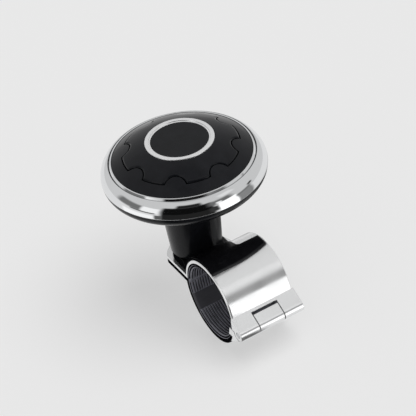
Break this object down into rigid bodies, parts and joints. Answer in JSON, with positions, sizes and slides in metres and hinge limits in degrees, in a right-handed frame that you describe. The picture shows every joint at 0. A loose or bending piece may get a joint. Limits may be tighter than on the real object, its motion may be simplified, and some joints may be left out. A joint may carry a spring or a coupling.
{
  "type": "steering wheel spinner knob",
  "caption": "Domed round grip with a chrome rim that spins on a bearing post, held to a steering wheel rim by a hinged, rubber-lined screw clamp.",
  "frame": {"origin": "centre of the clamp's round bore, half way along it", "axes": "+Y along the bore and the rim it grips, +X from the knob's side to the clamp's hinge, +Z parallel to the knob's spin axis, towards the dome"},
  "size_m": [0.0853, 0.0664, 0.0777],
  "materials": {
    "emblem_black": "flat gloss",
    "emblem_silver": "polished",
    "dome_black": "high gloss",
    "rim_chrome": "mirror",
    "stem_black": "satin",
    "base_black": "gloss",
    "clamp_chrome": "satin chrome",
    "liner_rubber": "matt",
    "steel": "bright",
    "pin_steel": "bright",
    "spring_steel": "blackened",
    "cage_nylon": "natural",
    "bush_acetal": "natural",
    "insert_brass": "turned"
  },
  "bodies": {
    "clamp_frame": {"clamp_base": "base_black", "upper_clamp": "clamp_chrome", "upper_liner": "liner_rubber", "hinge_pin": "pin_steel", "spindle_bolt": "steel", "spindle_nut": "steel", "nut_washer": "steel", "spacer_tube": "steel", "bearing_inner_race": "steel", "screw_inserts": "insert_brass"},
    "knob": {"emblem_disc": "emblem_black", "emblem_ring": "emblem_silver", "gear_cap": "dome_black", "top_dish": "dome_black", "chrome_ring": "rim_chrome", "lower_shell": "stem_black", "dish_screws": "steel", "retaining_ring": "spring_steel", "bearing_outer_race": "steel", "bearing_shields": "steel", "lower_bush": "bush_acetal"},
    "ball_set": {"bearing_cage": "cage_nylon", "bearing_balls": "steel"},
    "lower_jaw": {"lower_clamp": "clamp_chrome", "lower_liner": "liner_rubber", "clamp_screws": "spring_steel"}
  },
  "joints": [
    {"name": "knob_spin", "type": "hinge", "parent": "clamp_frame", "child": "knob", "pos_m": [-0.0275, -0.00235, 0.036], "axis": [0, 0, 1], "continuous": true},
    {"name": "cage_spin", "type": "hinge", "parent": "clamp_frame", "child": "ball_set", "pos_m": [-0.0275, -0.00235, 0.036], "axis": [0, 0, 1], "continuous": true},
    {"name": "clamp_hinge", "type": "hinge", "parent": "clamp_frame", "child": "lower_jaw", "pos_m": [0.0219, 0, -0.0019], "axis": [0, -1, 0], "range_deg": [0, 95]}
  ],
  "couplings": [
    {"joint": "cage_spin", "follows": "knob_spin", "ratio": 0.6522}
  ]
}
